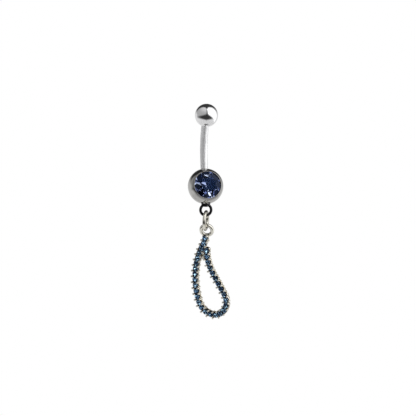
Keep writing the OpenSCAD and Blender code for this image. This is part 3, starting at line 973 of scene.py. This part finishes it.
class NAVEL_OT_setting(NavelOperator, bpy.types.Operator):
    """The pendant's casting: eye, band, seats and claws"""
    bl_idname = "navel_ring.setting"
    bl_label = "Pendant Setting"

    def execute(self, context):
        s = sizes()
        cups = [self.end_cup(s, i) for i in (1, s.stone_count)]
        body = joined("pendant_setting", [self.band(s)] + cups + self.claws(s) + [self.web(s)])
        # the recess marks set the plating's tarnish and painted shade
        mark_recesses(body)
        self.darken_seats(s, body)
        put(body, at(s.drop_at, s.drop), smooth=32)
        finished(body, "drop", "silver_plate", [cast_plate()], "pendant_frame")
        eye = wire_ring("pendant_eye", s.eye_r, s.eye_wire / 2)
        mark_wire(eye, False)
        put(eye, at(s.eye_at, turned_z(-s.eye_turn) @ turned_x(math.pi / 2 + s.eye_lean)))
        finished(eye, "drop", "silver_plate", [bright_plate()], "pendant_frame")
        return {'FINISHED'}

    def darken_seats(self, s, body):
        """The band's face round the stones lies in their shade, and the web's top doesn't."""
        stones, web = stone_spots(s), web_spot(s)
        marks = body.data.attributes["recess"].data
        for v in body.data.vertices:
            flat = Vector(v.co[:2])
            if s.band_h - 0.3 < v.co.z < s.band_h + 0.06:
                if min((flat - q).length for q in stones) < s.band_w / 2 + 0.04:
                    marks[v.index].value = 1.0
            if v.co.z > s.band_h * 0.5 and (flat - web).length < 0.5:
                marks[v.index].value = 0.1

    def unit(self, s):
        """One stone's length of the band, straight, with its seat and notches."""
        half, side = s.pitch / 2, s.band_w / 2 + 0.03
        start_clean()
        bpy.ops.mesh.primitive_cube_add(size=1, location=(0, 0, s.band_h / 2))
        bpy.context.object.scale = (s.pitch, s.band_w, s.band_h)
        block = named("band_unit")

        def lengthways(edge):
            a, b = (block.data.vertices[i].co for i in edge.vertices)
            return abs(a.x - b.x) > half

        edit_some(block, 'EDGE', lengthways)
        bpy.ops.mesh.bevel(offset=0.11, segments=3, affect='EDGES')
        for k in range(1, 6):
            bpy.ops.mesh.select_all(action='SELECT')
            bpy.ops.mesh.bisect(plane_co=(-half + s.pitch * k / 6, 0, 0), plane_no=(1, 0, 0))
        leave_edit()
        # the open hole for the stone's point, flared to a seat at the top
        hole = [(0, -CLEAR), (s.hole_r * 0.9, -CLEAR), (s.hole_r * 0.9, s.flare_z),
                (s.flare_r, s.band_h + CLEAR), (0, s.band_h + CLEAR)]
        cut(block, turned("hole", hole, 28), Matrix.Identity(4))
        # grooves across the back at both joints, a smaller one under the stone, and small
        # gallery holes through both walls
        across = [(-half, 0, s.notch_d / 2), (half, 0, s.notch_d / 2), (0, 0, s.notch_d * 0.4)]
        across += [(x, s.band_h * 0.42, s.gallery_d / 2) for x in (-half / 2, half / 2)]
        for x, z, r in across:
            cut(block, post("notch", r, -s.band_w, s.band_w, 16),
                at((x, 0, z), turned_x(math.pi / 2)))
        # a fine groove down both walls where two seats meet
        for x in (-half, half):
            for y in (-side, side):
                cut(block, post("groove", 0.12, -CLEAR, s.band_h + CLEAR, 12), at((x, y, 0)))
        edit_some(block, 'FACE', lambda face: abs(abs(face.center.x) - half) < 1e-3
                  and abs(face.normal.x) > 0.99)
        bpy.ops.mesh.delete(type='FACE')
        leave_edit()
        return block

    def band(self, s):
        """The units in a row, bent along the strand."""
        band = self.unit(s)
        band.data.transform(at((s.pitch / 2, 0, 0)))
        applied(band, 'ARRAY', "row", count=s.stone_count, use_relative_offset=False,
                use_constant_offset=True, constant_offset_displace=(s.pitch, 0, 0),
                use_merge_vertices=True, merge_threshold=0.001)
        line = bpy.data.curves.new("strand_guide", 'CURVE')
        line.dimensions = '2D'
        fine = 16
        spline = line.splines.new('POLY')
        spline.points.add(s.stone_count * fine)
        for k, point in enumerate(spline.points):
            x, y, _ = on_strand(s, s.pitch * (k / fine - 0.5))
            point.co = (x, y, 0, 1)
        guide = bpy.data.objects.new("strand_guide", line)
        bpy.context.scene.collection.objects.link(guide)
        applied(band, 'CURVE', "bend", object=guide, deform_axis='POS_X')
        bpy.data.objects.remove(guide)
        bpy.data.curves.remove(line)
        return close_up(band, fill=True)

    def end_cup(self, s, i):
        """The round end of the band under its first or last stone."""
        x, y, _ = stone_place(s, i)
        r = s.band_w / 2 + SEAT_GAP
        cup = turned("end_cup", [(s.hole_r, 0), (r - 0.1, 0), (r, 0.1), (r, s.band_h - 0.08),
                                 (r - 0.08, s.band_h), (s.flare_r, s.band_h),
                                 (s.hole_r, s.flare_z), (s.hole_r, 0)], 40)
        cup.data.transform(at((x, y, 0)))
        return cup

    def web(self, s):
        """The web between the two strands where they part."""
        r, top = s.pitch / 2, s.band_h * 0.8
        web = turned("web", [(0, 0), (r - 0.06, 0), (r, 0.06), (r, top - 0.1), (r - 0.1, top),
                             (0, top)], 32)
        web.data.transform(at(web_spot(s).to_3d()))
        return web

    def claws(self, s):
        """Claws between the stones, apart from those that a stone leaves no room for."""
        tip_r, rod_r = s.claw_tip_d / 2, s.claw_d / 2
        foot = -s.band_h * 0.82
        profile = [(0, foot), (rod_r * 0.55, foot), (rod_r * 0.9, foot + 0.15),
                   (rod_r, foot + 0.35), (rod_r * 0.9, s.claw_h - tip_r * 0.8)]
        profile += arc((0, s.claw_h), tip_r, -48, 90, 7)[:-1] + [(0, s.claw_h + tip_r)]
        claw = turned("claw", profile, 16)
        stones = stone_spots(s)
        made = []
        for i in range(s.stone_count + 1):
            place = on_strand(s, claw_run(s, i))
            for side in (-1, 1):
                tip = beside(place, side * (s.claw_off + s.claw_h * math.tan(s.claw_lean)))
                if min((tip.xy - q).length for q in stones) <= s.stone_d / 2 + tip_r:
                    continue
                foot_at = beside(place, side * s.claw_off)
                foot_at.z = s.band_h
                away = place[2] + side * math.pi / 2
                turn = turned_z(away) @ Matrix.Rotation(s.claw_lean, 3, 'Y')
                made.append(copied(claw, f"claw_{len(made):02d}", at(foot_at, turn)))
        bpy.data.objects.remove(claw)
        return made


class NAVEL_OT_small_stones(NavelOperator, bpy.types.Operator):
    """The pendant's small cut stones"""
    bl_idname = "navel_ring.small_stones"
    bl_label = "Small Stones"

    def execute(self, context):
        s = sizes()
        first = brilliant("cut_stone", s.stone_d, s.stone_table, s.stone_crown, s.stone_girdle,
                          s.stone_pavilion, sides=32, halves=False)
        shade_facets(first, table_shade=0.8)
        tones = finishes()
        glass = cut_glass("small_glass", tones.stone_dark, tones.stone)
        for i in range(1, s.stone_count + 1):
            x, y, heading = stone_place(s, i)
            facing = turned_z(heading + math.radians(45 * (i * 3 % 8)))
            stone = copied(first, f"cut_stone_{i:02d}", at((x, y, s.girdle_z), facing))
            put(stone, at(s.drop_at, s.drop), smooth=0)
            finished(stone, "drop", "small_stone", [glass, stone_foil()], f"stone_{i:02d}")
            self.confirm_place(stone, f"stone_{i:02d}")
        bpy.data.objects.remove(first)
        return {'FINISHED'}

    def confirm_place(self, stone, node):
        """Stops the script if a stone isn't where its node is."""
        low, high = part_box(node)
        points = [v.co for v in stone.data.vertices]
        middle = sum(points, Vector()) / len(points)
        if (middle - (low + high) / 2).length > 0.3 * MM:
            raise RuntimeError(f"{stone.name} isn't where {node} is")


class NAVEL_OT_stage(NavelOperator, bpy.types.Operator):
    """Camera, floor and studio light"""
    bl_idname = "navel_ring.stage"
    bl_label = "Stage"

    def execute(self, context):
        st = context.scene.navel_ring.stage
        self.camera(context, st)
        self.floor(st)
        self.surroundings(context, st)
        view = context.scene.view_settings
        view.view_transform = 'Standard'
        view.look = 'None'
        return {'FINISHED'}

    def camera(self, context, st):
        a, e, roll = -st.azimuth, st.elevation, st.roll
        back = Vector((math.sin(a) * math.cos(e), -math.cos(a) * math.cos(e), math.sin(e)))
        level = Vector((math.cos(a), math.sin(a), 0))
        upright = back.cross(level)
        right = level * math.cos(roll) + upright * math.sin(roll)
        up = upright * math.cos(roll) - level * math.sin(roll)
        aim = sizes().gem_ball_at * MM + right * st.aim_right - up * st.aim_down
        data = bpy.data.cameras.new("camera")
        data.lens, data.sensor_width = st.lens, 36.0
        away = st.picture_w * st.lens / data.sensor_width
        data.clip_start, data.clip_end = away * 0.1, 20.0
        eye = bpy.data.objects.new("camera", data)
        context.scene.collection.objects.link(eye)
        eye.matrix_world = at(aim + back * away, Matrix((right, up, back)).transposed())
        context.scene.camera = eye

    def floor(self, st):
        """A plain pale floor, lifted to white for the camera and pale for what mirrors it."""
        start_clean()
        bpy.ops.mesh.primitive_circle_add(vertices=96, radius=st.floor_r, fill_type='NGON',
                                          location=(0, 0, -st.floor_z))
        floor = named("floor")

        def fill(tree, shader):
            set_all(shader, Roughness=0.9, Emission_Color=(1, 1, 1, 1))
            feed(tree, shader.inputs["Base Color"], patched((0.8, 0.8, 0.8, 1), 0.95, 6)(tree))
            seen = add(tree, "LightPath").outputs["Is Camera Ray"]
            lift = maths(tree, 'MULTIPLY_ADD', seen, 0.6, 0.25)
            feed(tree, shader.inputs["Emission Strength"], lift)

        floor.data.materials.append(material("pale_floor", fill))

    def surroundings(self, context, st):
        """What the metal mirrors: a dim room with a bright softbox on the right, a dimmer
        one on the left, a wall behind that is pale at its sides, and a pale ground. The cut
        stones see small bright cards through themselves, and the camera sees white."""
        world = bpy.data.worlds.new("studio")
        context.scene.world = world
        world.use_nodes = True
        tree = world.node_tree
        tree.nodes.clear()

        def soft(value, dark, lit):
            """0 up to dark and 1 from lit on, smooth between."""
            low, high = min(dark, lit), max(dark, lit)
            return add(tree, "MapRange", interpolation_type='SMOOTHSTEP', Value=value,
                       From_Min=low, From_Max=high, To_Min=float(dark > lit),
                       To_Max=float(dark < lit)).outputs["Result"]

        def together(operation, found, *others):
            for value in others:
                found = maths(tree, operation, found, value)
            return found

        def sloped(value, factor, other):
            return maths(tree, 'MULTIPLY_ADD', value, factor, other)

        # degrees to the right of the camera's view, and degrees above the level
        place = add(tree, "TexCoord").outputs["Generated"]
        turn = add(tree, "Mapping", vector_type='VECTOR', Vector=place,
                   Rotation=(0, 0, st.azimuth)).outputs["Vector"]
        x, y, z = add(tree, "SeparateXYZ", Vector=turn).outputs
        degrees = math.degrees(1)
        front = together('MULTIPLY', y, -1.0)
        az = together('MULTIPLY', maths(tree, 'ARCTAN2', x, front), degrees)
        el = together('MULTIPLY', maths(tree, 'ARCSINE', z), degrees)
        side = maths(tree, 'ABSOLUTE', az)

        right = together('MULTIPLY', soft(az, 8, 24), soft(az, 150, 105),
                         soft(sloped(az, 0.8, el), 24, 50), soft(el, 86, 74), st.right_light)
        left = together('MULTIPLY', soft(az, 10, -6), soft(az, -138, -118),
                        soft(sloped(az, -0.4, el), 12, 36), soft(el, 88, 80),
                        sloped(soft(el, 25, 74), 0.3, st.left_light))
        wall = together('MULTIPLY', soft(side, 78, 118), soft(el, 16, -4),
                        sloped(soft(side, 138, 160), -0.55, st.wall_light))
        below = together('SUBTRACT', together('MULTIPLY', side, 0.22), el)
        ground = together('MULTIPLY', soft(below, 24.4, 49.4), st.wall_light)
        room = together('MAXIMUM', right, left, wall, ground, st.room_light)
        cards = add(tree, "TexNoise", Vector=turn, Scale=4.2, Detail=0.0).outputs["Fac"]
        sparkle = sloped(soft(cards, 0.53, 0.61), st.card_light, 0.03)

        ray = add(tree, "LightPath").outputs
        seen = add(tree, "Mix", Factor=ray["Is Transmission Ray"], A=room, B=sparkle)
        studio = add(tree, "Background", Color=(1, 1, 1, 1), Strength=seen.outputs["Result"])
        white = add(tree, "Background", Color=(1, 1, 1, 1))
        mix = add(tree, "MixShader", Fac=ray["Is Camera Ray"])
        add(tree, "OutputWorld", Surface=mix.outputs["Shader"])
        tree.links.new(studio.outputs["Background"], mix.inputs[1])
        tree.links.new(white.outputs["Background"], mix.inputs[2])


class NAVEL_PT_sidebar(bpy.types.Panel):
    """Lists the pieces in the 3D view's sidebar"""
    bl_label = "Navel Ring"
    bl_idname = "NAVEL_PT_sidebar"
    bl_space_type = 'VIEW_3D'
    bl_region_type = 'UI'
    bl_category = "Navel Ring"

    def draw(self, context):
        ring = context.scene.navel_ring
        for operator in OPERATORS:
            self.layout.operator(operator.bl_idname)
        for group in (ring.barbell, ring.stones, ring.pendant, ring.finishes, ring.stage):
            box = self.layout.box()
            for name in group.bl_rna.properties.keys():
                if name not in {"rna_type", "name"}:
                    box.prop(group, name)


OPERATORS = (
    NAVEL_OT_bar, NAVEL_OT_top_ball, NAVEL_OT_gem_ball, NAVEL_OT_loop, NAVEL_OT_large_stone,
    NAVEL_OT_jump_ring, NAVEL_OT_setting, NAVEL_OT_small_stones, NAVEL_OT_stage,
)
GROUPS = (NavelBarbell, NavelStones, NavelPendant, NavelFinishes, NavelStage, NavelRing)
CLASSES = GROUPS + OPERATORS + (NAVEL_PT_sidebar,)


def register():
    for cls in CLASSES:
        bpy.utils.register_class(cls)
    bpy.types.Scene.navel_ring = PointerProperty(type=NavelRing)


def unregister():
    del bpy.types.Scene.navel_ring
    for cls in reversed(CLASSES):
        bpy.utils.unregister_class(cls)


def main():
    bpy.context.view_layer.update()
    register()
    bpy.ops.navel_ring.bar()
    bpy.ops.navel_ring.top_ball()
    bpy.ops.navel_ring.gem_ball()
    bpy.ops.navel_ring.loop()
    bpy.ops.navel_ring.large_stone()
    bpy.ops.navel_ring.jump_ring()
    bpy.ops.navel_ring.setting()
    bpy.ops.navel_ring.small_stones()
    bpy.ops.navel_ring.stage()
    start_clean()
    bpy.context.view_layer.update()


if __name__ == "__main__":
    main()
